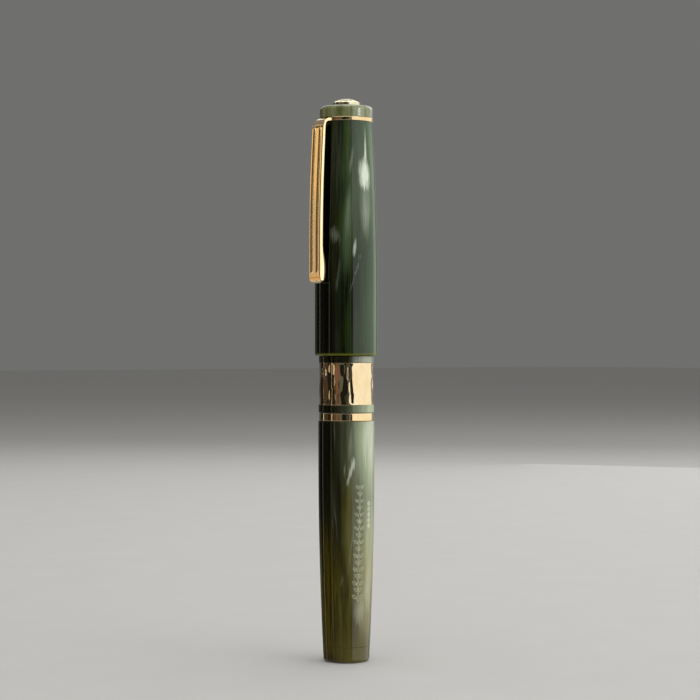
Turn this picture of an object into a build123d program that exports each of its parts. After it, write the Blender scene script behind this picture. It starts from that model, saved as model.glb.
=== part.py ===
from build123d import *
import math
import os

# Fountain pen, capped, standing on its flat barrel end. Millimetres.
# Origin: centre of the flat barrel end. +Z: along the pen, towards the cap's crown. The clip lies at -Y.

# Levels along the axis: outside of the capped pen
END_SEAM = 3.8
BARREL_TOP = 58.4
SPACER_BOTTOM = 60.5
SPACER_TOP = 62.35
COLLAR_RING_BOTTOM = 72.6
COLLAR_TOP = 74.3
CAP_LIP = 74.35
CAP_TOP = 131.1
CLIP_RING_TOP = 132.05
JEWEL_TOP = 135.0
CROWN = 137.0

# Radii: outside of the capped pen
BARREL_RADIUS = 6.83
BARREL_END_RADIUS = 5.55
BARREL_TAPER_FROM = 50.0
NARROW_BAND_RADIUS = 6.6
SPACER_RADIUS = 6.77
WIDE_BAND_RADIUS = 6.58
COLLAR_RING_RADIUS = 6.68
CAP_RADIUS = 7.67
CAP_TOP_RADIUS = 6.40
CAP_TAPER_FROM = 88.0
CLIP_RING_RADIUS = 6.52
JEWEL_RADIUS = 6.45
MEDALLION_RADIUS = 3.3
MEDALLION_EDGE = 0.9
END_ROUND = 0.7
JEWEL_ROUND = 0.95
LIP_ROUND = 0.35
SEAM_CHAMFER = 0.08
BAND_ROUND = 0.15

# Barrel: inside
BARREL_FLOOR = 7.3
BARREL_LOW_BORE = 4.3
BARREL_BORE = 4.75
BORE_STEP = 24.0
SOCKET_FLOOR = 48.0
SOCKET_RADIUS = 5.9
GLUE_LINE = 0.02
STEM_RADIUS = 3.0
STEM_TOP = 6.2
COLLAR_FOOT = 49.0
TENON_BORE_FLOOR = 64.0
TENON_BORE = 5.05

# Threads: root and crest radius, pitch, number of starts
TENON_THREAD = (4.7, 5.0, 0.75, 1)
CAP_THREAD = (5.85, 6.2, 0.8, 3)
NIB_THREAD = (3.6, 3.8, 0.6, 1)
SCREW_THREAD = (1.42, 1.6, 0.5, 1)
SPINDLE_THREAD = (0.9, 1.08, 1.6, 2)
THREAD_FLAT = 0.25
THREAD_FOOT = 0.84
THREAD_BURY = 0.12
THREAD_START = 0.05

# O-rings: ring radius, cord radius, level
SECTION_SEAL = (5.05, 0.4, 74.75)
NIB_SEAL = (3.2, 0.33, 78.56)

# Section
TENON_FOOT = 64.5
TENON_THREAD_SPAN = (65.6, 71.4)
TENON_TOP = 72.0
NECK_FOOT = 72.2
NECK_RADIUS = 4.6
TRIM_RING_OUTER = 6.15
TRIM_RING_INNER = 5.55
TRIM_RING_ROUND = 0.1
SECTION_SHOULDER = 74.9
SEAL_POCKET_TOP = 75.2
SEAL_POCKET_RADIUS = 5.5
CAP_THREAD_SPAN = (75.6, 78.5)
THREAD_SHOULDER_TOP = 79.0
GRIP_FOOT = 79.4
GRIP_REAR_RADIUS = 5.55
GRIP_WAIST_RADIUS = 4.65
GRIP_WAIST = 92.0
GRIP_LIP_RADIUS = 5.0
GRIP_TOP = 96.2
FRONT_RING_TOP = 97.3
FRONT_RING_RADIUS = 5.05
CONVERTER_SOCKET = 3.9
WEB_BOTTOM = 77.0
WEB_TOP = 78.2
WEB_HOLE = 2.6
NIB_SOCKET = 3.85

# Nib unit
HOUSING_FOOT = 78.95
HOUSING_FLOOR_TOP = 80.5
HOUSING_BORE = 2.95
NIB_THREAD_SPAN = (84.0, 91.0)
NIPPLE_FOOT = 73.2
NIPPLE_RADIUS = 1.35
INK_BORE = 0.6
NIB_OUTER = 2.92
NIB_INNER = 2.64
NIB_HEEL = 82.0
NIB_HEEL_END = 98.3
NIB_HEEL_HALF = 2.2
NIB_WIDEST = (2.55, 102.1)
NIB_SHOULDER = (2.4, 104.5)
NIB_TINES = (1.15, 109.1)
NIB_TIP = 117.0
NIB_TIP_HALF = 0.32
BREATHER = 107.5
BREATHER_RADIUS = 0.55
SLIT = 0.08
TIPPING_RADIUS = 0.45
FEED_RADIUS = 2.6
FEED_TOP = 112.5
FEED_BELLY_END = 99.5
FEED_BELLY = (1.0, 106.2)
FEED_NOSE_REACH = -1.9
FEED_FLANK = (1.75, 105.4)
FEED_NOSE_HALF = 0.45
CHANNEL_WIDTH = 0.5
CHANNEL_DEPTH = 0.8
FIN_COUNT = 8
FIN_FROM = 98.2
FIN_PITCH = 0.9
FIN_GAP = 0.42
FIN_DEPTH_FROM = 0.5

# Converter
CONVERTER_TOP = 76.5
MOUTH_FOOT = 70.5
MOUTH_RADIUS = 3.6
MOUTH_BORE = 1.38
CONVERTER_ROUND = 0.2
TUBE_FOOT = 41.0
TUBE_TOP = 73.0
TUBE_OUTER = 3.3
TUBE_INNER = 2.75
SLEEVE_FOOT = 21.2
SLEEVE_TOP = 48.0
SLEEVE_RADIUS = 3.75
WINDOW_FOOT = 42.0
WINDOW_HEIGHT = 4.4
WINDOW_WIDTH = 1.6
GUIDE_FOOT = 40.5
GUIDE_TOP = 43.0
PISTON_FOOT = 44.5
PISTON_TOP = 48.5
PISTON_RADIUS = 2.7
PISTON_WAIST = 2.2
PISTON_LIP = 0.9
ROD_FOOT = 17.0
ROD_RADIUS = 1.6
ROD_BORE = 1.15
ROD_BORE_TOP = 43.5
ROD_FLAT = 1.35
RUNNING_GAP = 0.05
KNOB_FOOT = 11.0
KNOB_TOP = 21.0
KNOB_RADIUS = 3.7
KNOB_ROUND = 0.4
KNOB_BOSS = 1.4
KNOB_CAVITY_FLOOR = 16.5
KNOB_CAVITY = 2.3
KNURL_COUNT = 28
KNURL_RADIUS = 0.24
KNURL_REACH = 3.76
KNURL_FOOT = 12.2
KNURL_LENGTH = 7.4
SPINDLE_FOOT = 13.0
SPINDLE_TOP = 43.3
SPINDLE_THREAD_SPAN = (17.5, 42.7)

# Cap: inside
CAP_BORE = 6.35
CAP_BORE_TOP = 100.0
CAP_UPPER_BORE = 5.6
CAP_WEB_BOTTOM = 128.6
SCREW_HOLE = 1.75
RETAINER_SPAN = (93.2, 94.3)
RETAINER_BORE = 5.25
INNER_CAP_FOOT = 97.4
INNER_CAP_FLANGE_TOP = 98.4
INNER_CAP_FLANGE = 6.2
INNER_CAP_OUTER = 5.35
INNER_CAP_INNER = 4.6
INNER_CAP_CEILING = 121.7
INNER_CAP_TOP = 123.0
WASHER_SPAN = (126.3, 126.9)
WASHER_RADIUS = 5.2
WASHER_HOLE = 2.0
SPRING_RADIUS = 3.6
SPRING_WIRE = 0.28
SPRING_TURNS = 3.5
SCREW_HEAD_FOOT = 126.95
SCREW_HEAD_RADIUS = 2.9
SCREW_HEAD_ROUND = 0.25
SCREW_SLOT_WIDTH = 0.7
SCREW_SLOT_DEPTH = 0.8
SCREW_SHANK_FOOT = 128.2
SCREW_THREAD_SPAN = (129.0, 133.3)
SCREW_TOP = 133.7
JEWEL_HOLE_RADIUS = 1.65
JEWEL_HOLE_TOP = 133.8
MEDALLION_SEAT = 134.2

# Clip, in its own plane: distance from the axis, height
CLIP_WIDTH = 4.32
CLIP_PIVOT = (4.625, 131.575)
CLIP_TANG_HALF = 0.325
CLIP_NOTCH_END = 4.0
CLIP_NOTCH_GAP = 0.08
CLIP_BEND = 2.8
CLIP_INNER_BEND = 1.0
CLIP_TANG_STEP = 0.4
CLIP_TOP_REACH = 8.9
CLIP_REACH = 9.9
CLIP_STRAIGHT_FROM = 100.0
CLIP_THICKNESS = 1.0
CLIP_LOW_THICKNESS = 1.19
CLIP_BALL_TOP = 101.0
CLIP_BALL = 95.2
CLIP_BALL_REACH = 7.84
CLIP_TOE = 94.0
CLIP_END = 91.8
CLIP_END_REACH = 9.0
CLIP_END_CORNER = 0.9

FROM_BELOW = (Align.CENTER, Align.CENTER, Align.MIN)


def rod(radius, low, high):
    """A plain round bar along the axis."""
    return Pos(0, 0, low) * Cylinder(radius, high - low, align=FROM_BELOW)


def tube(outer, inner, low, high):
    """A plain round tube along the axis."""
    return rod(outer, low, high) - rod(inner, low, high)


def turned(*points):
    """A solid of revolution from a closed outline of (radius, height) points."""
    return revolve(make_face(Plane.XZ * Polyline(*points, close=True)), Axis.Z)


def turned_edges(edges):
    """A solid of revolution from edges that close an outline in the (radius, height) plane."""
    return revolve(make_face([Plane.XZ * edge for edge in edges]), Axis.Z)


def seam_groove(radius, height, size=SEAM_CHAMFER):
    """The V-shaped cut that two chamfers make where two pieces meet."""
    low, high = height - 2 * size, height + 2 * size
    return turned((radius - size, height), (radius + size, low), (radius + size, high))


def rounded_rod(radius, low, high, corner):
    """A round bar whose two edges are rounded."""
    return fillet(rod(radius, low, high).edges().filter_by(GeomType.CIRCLE), corner)


def rounded_ring(outer, inner, low, high, corner):
    """A ring whose two outer edges are rounded."""
    return rounded_rod(outer, low, high, corner) - rod(inner, low, high)


def with_thread(core, thread, low, high):
    """The core with helical ridges on it, one for each start."""
    root, crest, pitch, starts = thread
    lead = pitch * starts
    foot = pitch * THREAD_FOOT / 2
    flat = pitch * THREAD_FLAT / 2
    path = Helix(lead, high - low, root)
    across = Plane(origin=path.position_at(0), x_dir=(1, 0, 0), z_dir=path.tangent_at(0))
    outline = Polygon(
        (-THREAD_BURY, -foot), (crest - root, -flat), (crest - root, flat), (-THREAD_BURY, foot), align=None
    )
    ridge = Pos(0, 0, low) * sweep(across * outline, path, is_frenet=True)
    for start in range(starts):
        core = core + Rot(0, 0, 360 * (start + THREAD_START) / starts) * ridge
    return core


# --- barrel -----------------------------------------------------------------

def barrel_outside():
    """The whole outside of barrel and end cap: flat end, rounded edge, bulging taper, parallel top."""
    taper = TangentArc((BARREL_RADIUS, BARREL_TAPER_FROM), (BARREL_END_RADIUS, 0), tangent=(0, -1))
    edges = [
        taper,
        Line((BARREL_END_RADIUS, 0), (0, 0)),
        Line((0, 0), (0, BARREL_TOP)),
        Line((0, BARREL_TOP), (BARREL_RADIUS, BARREL_TOP)),
        Line((BARREL_RADIUS, BARREL_TOP), (BARREL_RADIUS, BARREL_TAPER_FROM)),
    ]
    outside = turned_edges(edges)
    end_edge = outside.edges().filter_by(GeomType.CIRCLE).sort_by(Axis.Z)[0]
    return fillet(end_edge, END_ROUND)


def seam_radius():
    """The barrel's outside radius at the end cap's seam."""
    drop = BARREL_RADIUS - BARREL_END_RADIUS
    bulge = (BARREL_TAPER_FROM ** 2 + drop ** 2) / (2 * drop)
    return BARREL_RADIUS - bulge + math.sqrt(bulge ** 2 - (BARREL_TAPER_FROM - END_SEAM) ** 2)


def barrel_tube():
    body = barrel_outside() & rod(2 * BARREL_RADIUS, END_SEAM, BARREL_TOP)
    body -= rod(STEM_RADIUS, END_SEAM, STEM_TOP + 2 * GLUE_LINE)
    body -= rod(BARREL_LOW_BORE, BARREL_FLOOR, BORE_STEP)
    body -= rod(BARREL_BORE, BORE_STEP, SOCKET_FLOOR)
    body -= rod(SOCKET_RADIUS, SOCKET_FLOOR, BARREL_TOP)
    return body - seam_groove(seam_radius(), END_SEAM)


def barrel_end_cap():
    body = barrel_outside() & rod(2 * BARREL_RADIUS, 0, END_SEAM)
    body -= seam_groove(seam_radius(), END_SEAM)
    return body + rod(STEM_RADIUS - GLUE_LINE, END_SEAM, STEM_TOP)


def barrel_band_narrow():
    return rounded_ring(NARROW_BAND_RADIUS, SOCKET_RADIUS, BARREL_TOP, SPACER_BOTTOM, 2 * BAND_ROUND)


def barrel_spacer_ring():
    return rounded_ring(SPACER_RADIUS, SOCKET_RADIUS, SPACER_BOTTOM, SPACER_TOP, BAND_ROUND)


def barrel_band_wide():
    return rounded_ring(WIDE_BAND_RADIUS, SOCKET_RADIUS, SPACER_TOP, COLLAR_RING_BOTTOM, BAND_ROUND)


def barrel_collar():
    ring = rounded_ring(COLLAR_RING_RADIUS, BARREL_BORE, COLLAR_RING_BOTTOM, COLLAR_TOP, BAND_ROUND)
    body = ring + tube(SOCKET_RADIUS - GLUE_LINE, BARREL_BORE, COLLAR_FOOT, COLLAR_RING_BOTTOM)
    return body - rod(TENON_BORE, TENON_BORE_FLOOR, COLLAR_TOP)


# --- section ----------------------------------------------------------------

def section_trim_ring():
    low = COLLAR_TOP + GLUE_LINE
    high = SECTION_SHOULDER - GLUE_LINE
    return rounded_ring(TRIM_RING_OUTER, TRIM_RING_INNER, low, high, TRIM_RING_ROUND)


def seal(ring_radius, cord_radius, level):
    """A rubber O-ring."""
    return Pos(0, 0, level) * Torus(ring_radius, cord_radius)


def section_o_ring():
    return seal(*SECTION_SEAL)


def section_grip():
    """Threaded tenon, shoulder with the cap's thread, and a waisted grip that flares to a lip."""
    grip_side = Spline(
        (GRIP_REAR_RADIUS, GRIP_FOOT),
        (GRIP_WAIST_RADIUS, GRIP_WAIST),
        (GRIP_LIP_RADIUS, GRIP_TOP),
        tangents=[(-0.03, 1), (0.2, 1)],
    )
    shoulder_radius = CAP_THREAD[0]
    back = Polyline(
        (GRIP_LIP_RADIUS, GRIP_TOP),
        (NIB_SOCKET, GRIP_TOP),
        (NIB_SOCKET, WEB_TOP),
        (WEB_HOLE, WEB_TOP),
        (WEB_HOLE, WEB_BOTTOM),
        (CONVERTER_SOCKET, WEB_BOTTOM),
        (CONVERTER_SOCKET, TENON_FOOT),
        (TENON_THREAD[0], TENON_FOOT),
        (TENON_THREAD[0], TENON_TOP),
        (NECK_RADIUS, NECK_FOOT),
        (NECK_RADIUS, SEAL_POCKET_TOP),
        (SEAL_POCKET_RADIUS, SEAL_POCKET_TOP),
        (SEAL_POCKET_RADIUS, SECTION_SHOULDER),
        (shoulder_radius, SECTION_SHOULDER),
        (shoulder_radius, THREAD_SHOULDER_TOP),
        (GRIP_REAR_RADIUS, GRIP_FOOT),
    )
    body = turned_edges([grip_side, back])
    body = with_thread(body, TENON_THREAD, *TENON_THREAD_SPAN)
    return with_thread(body, CAP_THREAD, *CAP_THREAD_SPAN)


def section_front_ring():
    return rounded_ring(FRONT_RING_RADIUS, CONVERTER_SOCKET, GRIP_TOP, FRONT_RING_TOP, 2 * BAND_ROUND)


# --- nib unit ---------------------------------------------------------------

def nib_housing():
    body = turned(
        (INK_BORE, NIPPLE_FOOT),
        (NIPPLE_RADIUS, NIPPLE_FOOT),
        (NIPPLE_RADIUS, HOUSING_FOOT),
        (NIB_THREAD[0], HOUSING_FOOT),
        (NIB_THREAD[0], FRONT_RING_TOP),
        (HOUSING_BORE, FRONT_RING_TOP),
        (HOUSING_BORE, HOUSING_FLOOR_TOP),
        (INK_BORE, HOUSING_FLOOR_TOP),
    )
    return with_thread(body, NIB_THREAD, *NIB_THREAD_SPAN)


def nib_o_ring():
    return seal(*NIB_SEAL)


def nib_outline():
    """The nib seen from above: parallel heel, rounded shoulders, tines that draw in to the tip."""
    right_side = Spline(
        NIB_WIDEST,
        NIB_SHOULDER,
        NIB_TINES,
        (NIB_TIP_HALF, NIB_TIP),
        tangents=[(0.35, 1), (-0.06, 1)],
    )
    edges = [
        Line((0, NIB_HEEL), (NIB_HEEL_HALF, NIB_HEEL)),
        Line((NIB_HEEL_HALF, NIB_HEEL), (NIB_HEEL_HALF, NIB_HEEL_END)),
        Line((NIB_HEEL_HALF, NIB_HEEL_END), NIB_WIDEST),
        right_side,
        Line((NIB_TIP_HALF, NIB_TIP), (0, NIB_TIP)),
        Line((0, NIB_TIP), (0, NIB_HEEL)),
    ]
    half = make_face([Plane.XZ * edge for edge in edges])
    blade = extrude(half, 2 * NIB_OUTER, dir=(0, -1, 0))
    return blade + mirror(blade, Plane.YZ)


def tipping_ball():
    reach = (NIB_OUTER + NIB_INNER) / 2
    return Pos(0, -reach, NIB_TIP + TIPPING_RADIUS / 2) * Rot(0, 90, 0) * Sphere(TIPPING_RADIUS)


def nib_slit():
    depth = 2 * NIB_OUTER
    length = NIB_TIP + 2 * TIPPING_RADIUS - BREATHER
    return Pos(0, -depth / 2, BREATHER) * Box(SLIT, depth, length, align=FROM_BELOW)


def nib():
    sheet = tube(NIB_OUTER, NIB_INNER, NIB_HEEL, NIB_TIP) & nib_outline()
    breather = Rot(90, 0, 0) * Cylinder(BREATHER_RADIUS, 2 * NIB_OUTER, align=FROM_BELOW)
    return sheet - Pos(0, 0, BREATHER) * breather - nib_slit() - tipping_ball()


def nib_tipping():
    right_half = split(tipping_ball(), Plane.YZ.offset(SLIT / 2), keep=Keep.TOP)
    return right_half + mirror(right_half, Plane.YZ)


def feed():
    """A round feed that hugs the nib's underside, thins towards its nose and carries fins below."""
    outside = 2 * FEED_RADIUS
    belly_start = (FEED_RADIUS, FEED_BELLY_END)
    nose = (FEED_NOSE_REACH, FEED_TOP)
    side_edges = [
        Line((-outside, HOUSING_FLOOR_TOP), (outside, HOUSING_FLOOR_TOP)),
        Line((outside, HOUSING_FLOOR_TOP), (outside, FEED_BELLY_END)),
        Line((outside, FEED_BELLY_END), belly_start),
        Spline(belly_start, FEED_BELLY, nose, tangents=[(0, 1), (-0.8, 1)]),
        Line(nose, (-outside, FEED_TOP)),
        Line((-outside, FEED_TOP), (-outside, HOUSING_FLOOR_TOP)),
    ]
    side = extrude(make_face([Plane.YZ * edge for edge in side_edges]), outside, both=True)
    nose_corner = (FEED_NOSE_HALF, FEED_TOP)
    plan_edges = [
        Line((0, HOUSING_FLOOR_TOP), (outside, HOUSING_FLOOR_TOP)),
        Line((outside, HOUSING_FLOOR_TOP), belly_start),
        Spline(belly_start, FEED_FLANK, nose_corner, tangents=[(-0.1, 1), (-0.15, 1)]),
        Line(nose_corner, (0, FEED_TOP)),
        Line((0, FEED_TOP), (0, HOUSING_FLOOR_TOP)),
    ]
    half_plan = extrude(make_face([Plane.XZ * edge for edge in plan_edges]), outside, both=True)
    plan = half_plan + mirror(half_plan, Plane.YZ)
    body = rod(FEED_RADIUS, HOUSING_FLOOR_TOP, FEED_TOP) & side & plan
    gap = Box(2 * outside, outside, FIN_GAP, align=(Align.CENTER, Align.MIN, Align.MIN))
    for fin in range(FIN_COUNT):
        body -= Pos(0, FIN_DEPTH_FROM, FIN_FROM + fin * FIN_PITCH) * gap
    channel = Box(CHANNEL_WIDTH, 2 * CHANNEL_DEPTH, FEED_TOP - HOUSING_FLOOR_TOP, align=FROM_BELOW)
    return body - Pos(0, -FEED_RADIUS, HOUSING_FLOOR_TOP) * channel


# --- converter --------------------------------------------------------------

def converter_mouth():
    body = rounded_ring(MOUTH_RADIUS, MOUTH_BORE, MOUTH_FOOT, CONVERTER_TOP, CONVERTER_ROUND)
    return body - rod(TUBE_OUTER, MOUTH_FOOT, TUBE_TOP)


def converter_tube():
    return tube(TUBE_OUTER, TUBE_INNER, TUBE_FOOT, TUBE_TOP)


def converter_sleeve():
    body = rounded_ring(SLEEVE_RADIUS, TUBE_OUTER + GLUE_LINE, SLEEVE_FOOT, SLEEVE_TOP, CONVERTER_ROUND)
    window = Box(WINDOW_WIDTH, 4 * SLEEVE_RADIUS, WINDOW_HEIGHT, align=FROM_BELOW)
    return body - Pos(0, 0, WINDOW_FOOT) * window


def flatted(radius, flat, low, high):
    """A round bar with two flats."""
    return rod(radius, low, high) & Pos(0, 0, low) * Box(2 * flat, 4 * radius, high - low, align=FROM_BELOW)


def converter_rod_guide():
    body = rod(TUBE_OUTER, GUIDE_FOOT, TUBE_FOOT) + rod(TUBE_INNER - GLUE_LINE, TUBE_FOOT, GUIDE_TOP)
    return body - flatted(ROD_RADIUS + RUNNING_GAP, ROD_FLAT + RUNNING_GAP, GUIDE_FOOT, GUIDE_TOP)


def converter_piston():
    """A plunger with a sealing lip at each end."""
    body = rod(PISTON_WAIST, PISTON_FOOT, PISTON_TOP)
    body += rod(PISTON_RADIUS, PISTON_FOOT, PISTON_FOOT + PISTON_LIP)
    return body + rod(PISTON_RADIUS, PISTON_TOP - PISTON_LIP, PISTON_TOP)


def converter_piston_rod():
    return flatted(ROD_RADIUS, ROD_FLAT, ROD_FOOT, PISTON_FOOT) - rod(ROD_BORE, ROD_FOOT, ROD_BORE_TOP)


def converter_spindle():
    core = rod(SPINDLE_THREAD[0], SPINDLE_FOOT, SPINDLE_TOP)
    return with_thread(core, SPINDLE_THREAD, *SPINDLE_THREAD_SPAN)


def converter_knob():
    """A knurled knob, hollow above, bored for the spindle and closed by a boss below it."""
    body = rounded_ring(KNOB_RADIUS, SPINDLE_THREAD[0], KNOB_FOOT, KNOB_TOP, KNOB_ROUND)
    body -= rod(KNOB_CAVITY, KNOB_CAVITY_FLOOR, KNOB_TOP)
    body += rod(KNOB_BOSS, KNOB_FOOT, SPINDLE_FOOT)
    groove = Pos(KNURL_REACH, 0, KNURL_FOOT) * Cylinder(KNURL_RADIUS, KNURL_LENGTH, align=FROM_BELOW)
    for step in range(KNURL_COUNT):
        body -= Rot(0, 0, 360 * step / KNURL_COUNT) * groove
    return body


# --- cap --------------------------------------------------------------------

def cap_tube():
    taper = TangentArc((CAP_RADIUS, CAP_TAPER_FROM), (CAP_TOP_RADIUS, CAP_TOP), tangent=(0, 1))
    inside = Polyline(
        (CAP_TOP_RADIUS, CAP_TOP),
        (SCREW_HOLE, CAP_TOP),
        (SCREW_HOLE, CAP_WEB_BOTTOM),
        (CAP_UPPER_BORE, CAP_WEB_BOTTOM),
        (CAP_UPPER_BORE, CAP_BORE_TOP),
        (CAP_BORE, CAP_BORE_TOP),
        (CAP_BORE, CAP_LIP),
        (CAP_RADIUS, CAP_LIP),
        (CAP_RADIUS, CAP_TAPER_FROM),
    )
    body = turned_edges([taper, inside])
    lip = body.edges().filter_by(GeomType.CIRCLE).filter_by(lambda edge: edge.radius > CAP_RADIUS - 0.001)
    return fillet(lip.sort_by(Axis.Z)[0], LIP_ROUND)


def inner_cap_retainer():
    return tube(CAP_BORE, RETAINER_BORE, *RETAINER_SPAN)


def clip_ring():
    body = rounded_ring(CLIP_RING_RADIUS, SCREW_HOLE, CAP_TOP, CLIP_RING_TOP, BAND_ROUND)
    notch_width = CLIP_WIDTH + 2 * CLIP_NOTCH_GAP
    notch = Pos(0, -CLIP_NOTCH_END, CAP_TOP) * Box(
        notch_width,
        2 * CLIP_RING_RADIUS,
        2 * (CLIP_RING_TOP - CAP_TOP),
        align=(Align.CENTER, Align.MAX, Align.MIN),
    )
    return body - notch


def clip():
    """A sprung strap: round-heeled tang, round shoulder, long bowed arm, ball that bears on the cap."""
    pivot_reach, pivot_level = CLIP_PIVOT
    top = pivot_level + CLIP_TANG_HALF
    bottom = pivot_level - CLIP_TANG_HALF
    bend = (CLIP_TOP_REACH - CLIP_BEND, top - CLIP_BEND)
    inner_bend_reach = CLIP_TOP_REACH - CLIP_THICKNESS
    inner_bend_top = top - CLIP_THICKNESS
    inner_bend = (inner_bend_reach - CLIP_INNER_BEND, inner_bend_top - CLIP_INNER_BEND)
    inner_reach = CLIP_REACH - CLIP_LOW_THICKNESS
    outside = [
        Line((pivot_reach, top), (bend[0], top)),
        TangentArc((bend[0], top), (CLIP_TOP_REACH, bend[1]), tangent=(1, 0)),
        TangentArc((CLIP_REACH, CLIP_STRAIGHT_FROM), (CLIP_TOP_REACH, bend[1]), tangent=(0, 1)),
        Line((CLIP_REACH, CLIP_STRAIGHT_FROM), (CLIP_REACH, CLIP_TOE)),
    ]
    ball = Spline(
        (CLIP_REACH, CLIP_TOE),
        (CLIP_END_REACH, CLIP_END),
        (CLIP_BALL_REACH, CLIP_BALL),
        (inner_reach, CLIP_BALL_TOP),
        tangents=[(0, -1), (0, 1)],
        tangent_scalars=[0.4, 0.6],
    )
    inside = [
        TangentArc((inner_reach, CLIP_BALL_TOP), (inner_bend_reach, inner_bend[1]), tangent=(0, 1)),
        TangentArc((inner_bend[0], inner_bend_top), (inner_bend_reach, inner_bend[1]), tangent=(1, 0)),
        Polyline(
            (inner_bend[0], inner_bend_top),
            (inner_bend[0] - CLIP_TANG_STEP, bottom),
            (pivot_reach, bottom),
        ),
        ThreePointArc((pivot_reach, bottom), (pivot_reach - CLIP_TANG_HALF, pivot_level), (pivot_reach, top)),
    ]
    side = make_face([Plane.YZ * mirror(edge, Plane.YZ) for edge in (*outside, ball, *inside)])
    strap = extrude(side, CLIP_WIDTH, both=True)
    length = CLIP_PIVOT[1] - CLIP_END
    blank = Pos(0, -CLIP_REACH, CLIP_END) * Box(CLIP_WIDTH, 2 * CLIP_REACH, 2 * length, align=FROM_BELOW)
    end_corners = blank.edges().filter_by(Axis.Y).group_by(Axis.Z)[0]
    return strap & fillet(end_corners, CLIP_END_CORNER)


def cap_jewel():
    """A disc with a rounded top edge, a seat for the medallion and a blind hole for the screw."""
    edge_foot = JEWEL_TOP - JEWEL_ROUND
    outline = [
        Line((JEWEL_HOLE_RADIUS, CLIP_RING_TOP), (JEWEL_RADIUS, CLIP_RING_TOP)),
        Line((JEWEL_RADIUS, CLIP_RING_TOP), (JEWEL_RADIUS, edge_foot)),
        TangentArc((JEWEL_RADIUS, edge_foot), (JEWEL_RADIUS - JEWEL_ROUND, JEWEL_TOP), tangent=(0, 1)),
        Polyline(
            (JEWEL_RADIUS - JEWEL_ROUND, JEWEL_TOP),
            (MEDALLION_RADIUS + GLUE_LINE, JEWEL_TOP),
            (MEDALLION_RADIUS + GLUE_LINE, MEDALLION_SEAT),
            (0, MEDALLION_SEAT),
            (0, JEWEL_HOLE_TOP),
            (JEWEL_HOLE_RADIUS, JEWEL_HOLE_TOP),
            (JEWEL_HOLE_RADIUS, CLIP_RING_TOP),
        ),
    ]
    return turned_edges(outline)


def cap_medallion():
    edge_top = JEWEL_TOP + MEDALLION_EDGE
    outline = [
        Line((0, MEDALLION_SEAT), (MEDALLION_RADIUS, MEDALLION_SEAT)),
        Line((MEDALLION_RADIUS, MEDALLION_SEAT), (MEDALLION_RADIUS, edge_top)),
        TangentArc((0, CROWN), (MEDALLION_RADIUS, edge_top), tangent=(1, 0)),
        Line((0, CROWN), (0, MEDALLION_SEAT)),
    ]
    return turned_edges(outline)


def cap_screw():
    """A round-headed screw with a slot that faces down into the cap."""
    head = rounded_rod(SCREW_HEAD_RADIUS, SCREW_HEAD_FOOT, CAP_WEB_BOTTOM, SCREW_HEAD_ROUND)
    slot = Box(4 * SCREW_HEAD_RADIUS, SCREW_SLOT_WIDTH, SCREW_SLOT_DEPTH, align=FROM_BELOW)
    head -= Pos(0, 0, SCREW_HEAD_FOOT) * slot
    shank = rod(SCREW_THREAD[0], SCREW_SHANK_FOOT, SCREW_TOP)
    return with_thread(head + shank, SCREW_THREAD, *SCREW_THREAD_SPAN)


def spring_washer():
    return tube(WASHER_RADIUS, WASHER_HOLE, *WASHER_SPAN)


def cap_spring():
    """A short compression spring between the inner cap and the washer."""
    low = INNER_CAP_TOP + SPRING_WIRE
    high = WASHER_SPAN[0] - SPRING_WIRE
    path = Helix((high - low) / SPRING_TURNS, high - low, SPRING_RADIUS)
    across = Plane(origin=path.position_at(0), z_dir=path.tangent_at(0))
    return Pos(0, 0, low) * sweep(across * Circle(SPRING_WIRE), path, is_frenet=True)


def inner_cap():
    """A sealing cup over the nib, with a flange that the spring presses onto the section's mouth."""
    return turned(
        (INNER_CAP_INNER, INNER_CAP_FOOT),
        (INNER_CAP_FLANGE, INNER_CAP_FOOT),
        (INNER_CAP_FLANGE, INNER_CAP_FLANGE_TOP),
        (INNER_CAP_OUTER, INNER_CAP_FLANGE_TOP),
        (INNER_CAP_OUTER, INNER_CAP_TOP),
        (0, INNER_CAP_TOP),
        (0, INNER_CAP_CEILING),
        (INNER_CAP_INNER, INNER_CAP_CEILING),
    )


SUB_PARTS = (
    barrel_tube, barrel_end_cap, barrel_band_narrow, barrel_spacer_ring, barrel_band_wide, barrel_collar,
    section_trim_ring, section_o_ring, section_grip, section_front_ring,
    nib_o_ring, nib_housing, feed, nib, nib_tipping,
    converter_mouth, converter_tube, converter_sleeve, converter_rod_guide,
    converter_piston, converter_piston_rod, converter_spindle, converter_knob,
    inner_cap, cap_spring, spring_washer,
    cap_tube, inner_cap_retainer, clip_ring, cap_screw, cap_jewel, cap_medallion, clip,
)

os.makedirs("parts", exist_ok=True)
for sub_part in SUB_PARTS:
    export_step(sub_part(), f"parts/{sub_part.__name__}.step")
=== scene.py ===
"""A capped fountain pen in marbled green resin with gold fittings, standing on its barrel end."""
import math
import random

import bmesh
import bpy
import numpy as np
from mathutils import Matrix, Vector


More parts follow.
